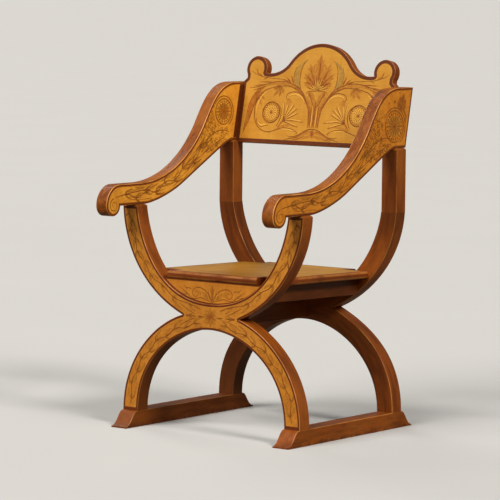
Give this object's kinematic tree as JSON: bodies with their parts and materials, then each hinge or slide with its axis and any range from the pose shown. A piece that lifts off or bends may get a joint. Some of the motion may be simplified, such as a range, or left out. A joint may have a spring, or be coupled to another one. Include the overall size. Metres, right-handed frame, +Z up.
{
  "type": "savonarola chair",
  "caption": "Rigid curule armchair with bowed front and rear frames on runners, a board seat, S-curved scrolled arms and a shaped, leaning back panel, veneered and pen-worked.",
  "frame": {"origin": "on the floor, under the middle of the chair's bounding box", "axes": "+Z up; the chair faces -Y; +X is on the right of someone who looks at its front"},
  "size_m": [0.612, 0.6445, 1.0468],
  "materials": {
    "walnut": "french polished",
    "frame_veneer": "french polished penwork",
    "arm_veneer": "french polished penwork",
    "panel_veneer": "french polished penwork",
    "lunette_veneer": "french polished penwork",
    "seat_veneer": "french polished",
    "joinery": "plain"
  },
  "bodies": {
    "root": {"runner_left": "walnut", "runner_right": "walnut", "front_lower_bow": "walnut", "front_upper_bow": "walnut", "rear_lower_bow": "walnut", "rear_upper_bow": "walnut", "rear_post_left": "walnut", "rear_post_right": "walnut", "cross_stretcher": "walnut", "front_frame_veneer": "frame_veneer", "front_lunette": "walnut", "front_lunette_veneer": "lunette_veneer", "rear_lunette": "walnut", "seat_board": "walnut", "seat_veneer": "seat_veneer", "seat_rail_left": "walnut", "seat_rail_right": "walnut", "arm_left": "walnut", "arm_right": "walnut", "arm_left_outer_veneer": "arm_veneer", "arm_left_inner_veneer": "arm_veneer", "arm_right_outer_veneer": "arm_veneer", "arm_right_inner_veneer": "arm_veneer", "back_panel": "walnut", "back_panel_veneer": "panel_veneer", "foot_tenons": "joinery", "crossing_dowels": "joinery", "splice_dowels": "joinery", "arm_dowels": "joinery", "panel_dowels": "joinery", "rail_dowels": "joinery", "seat_dowels": "joinery"}
  },
  "joints": []
}
